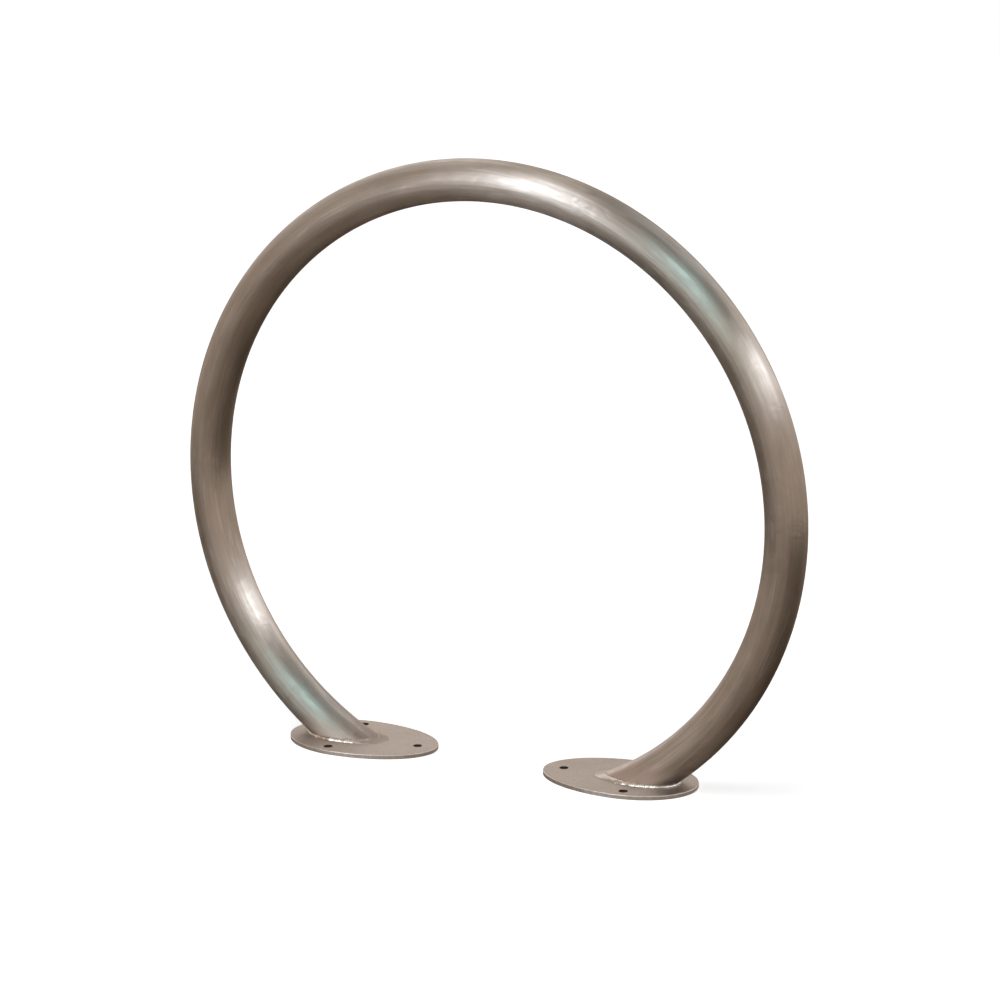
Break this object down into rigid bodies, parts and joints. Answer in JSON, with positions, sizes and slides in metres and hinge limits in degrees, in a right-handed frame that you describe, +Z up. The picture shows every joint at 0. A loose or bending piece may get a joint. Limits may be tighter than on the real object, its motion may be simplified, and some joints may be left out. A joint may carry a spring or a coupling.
{
  "type": "hoop rail",
  "caption": "Round pipe hoop, open at the bottom, welded at each foot to a flat oval base plate with anchor holes; a fixed rail to hold or lock to.",
  "frame": {"origin": "on the floor, midway between the two base plates", "axes": "+X across the hoop from one foot to the other, +Y through the hoop, +Z up"},
  "size_m": [0.9746, 0.15, 0.8823],
  "materials": {
    "pipe": "satin stainless, fine brushing along the pipe",
    "plate": "satin stainless sheet, softer than the pipe",
    "weld": "bright rippled weld metal, lightly brushed"
  },
  "bodies": {
    "root": {"hoop_tube": "pipe", "left_base_plate": "plate", "right_base_plate": "plate", "left_weld_bead": "weld", "right_weld_bead": "weld"}
  },
  "joints": []
}
